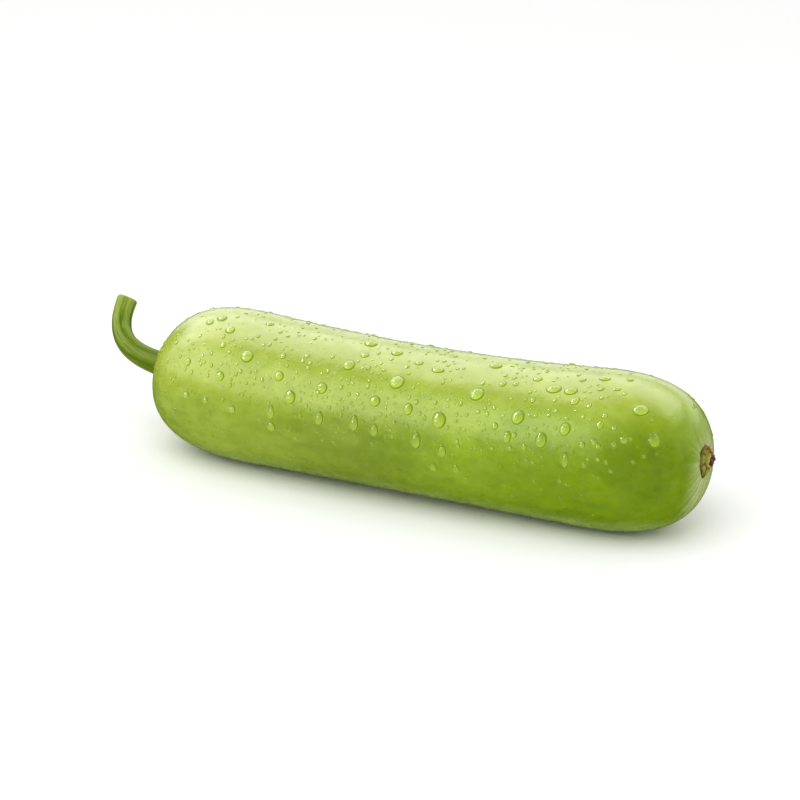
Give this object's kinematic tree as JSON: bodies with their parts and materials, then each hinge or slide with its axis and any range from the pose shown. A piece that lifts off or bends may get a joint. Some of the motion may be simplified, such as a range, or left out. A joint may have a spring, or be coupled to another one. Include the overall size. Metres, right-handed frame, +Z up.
{
  "type": "bottle gourd",
  "caption": "Whole bottle gourd vegetable lying on its side: long pale green fruit with blunt ends, a bent cut stem and a dried blossom scar.",
  "frame": {"origin": "middle of the whole gourd's footprint, on the surface that it rests on", "axes": "+X along the fruit from the stem end to the blossom end, +Z up, -Y towards the side that bulges"},
  "size_m": [0.3418, 0.0814, 0.077],
  "materials": {
    "skin": "waxy semi-gloss skin, mottled pale green, wet",
    "stalk": "ribbed green stalk, satin",
    "scar_tissue": "creased olive scar, matte",
    "dry_tissue": "dried brown style, rough"
  },
  "bodies": {
    "root": {"fruit": "skin", "stem": "stalk", "blossom_scar": "scar_tissue", "dried_style": "dry_tissue"}
  },
  "joints": []
}
